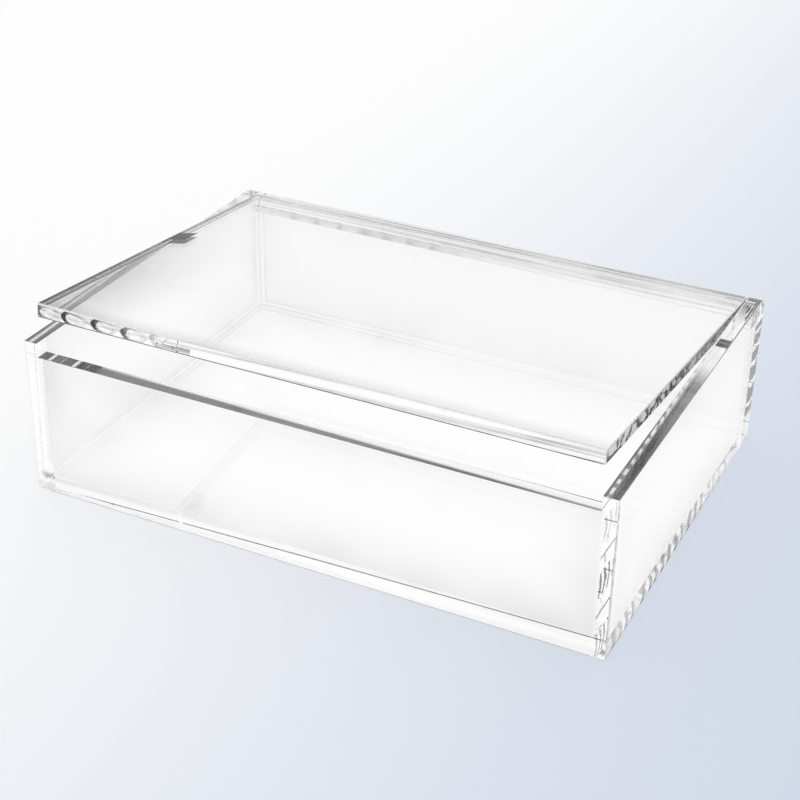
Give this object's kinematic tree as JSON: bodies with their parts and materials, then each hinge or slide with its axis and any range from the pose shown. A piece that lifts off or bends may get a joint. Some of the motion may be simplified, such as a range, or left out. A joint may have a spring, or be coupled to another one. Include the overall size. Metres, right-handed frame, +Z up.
{
  "type": "storage box",
  "caption": "Low rectangular box of clear sheet with a full-width lid that turns up between the side walls on a rounded rear bar.",
  "frame": {"origin": "middle of the underside, on the surface that the box stands on", "axes": "+X to the box's right as seen from the front, -Y out of the front wall, +Z up"},
  "size_m": [0.25, 0.178, 0.0863],
  "materials": {
    "clear_sheet": "clear cast acrylic sheet, faces glossy, cut edges flame polished",
    "pin_steel": "plain ground steel"
  },
  "bodies": {
    "box": {"floor_panel": "clear_sheet", "front_panel": "clear_sheet", "back_panel": "clear_sheet", "left_side_panel": "clear_sheet", "right_side_panel": "clear_sheet", "left_hinge_pin": "pin_steel", "right_hinge_pin": "pin_steel"},
    "lid": {"lid_panel": "clear_sheet", "lid_hinge_bar": "clear_sheet"}
  },
  "joints": [
    {"name": "lid_hinge", "type": "hinge", "parent": "box", "child": "lid", "pos_m": [0, 0.083, 0.063], "axis": [-1, 0, 0], "range_deg": [-5.8, 174.2]}
  ]
}
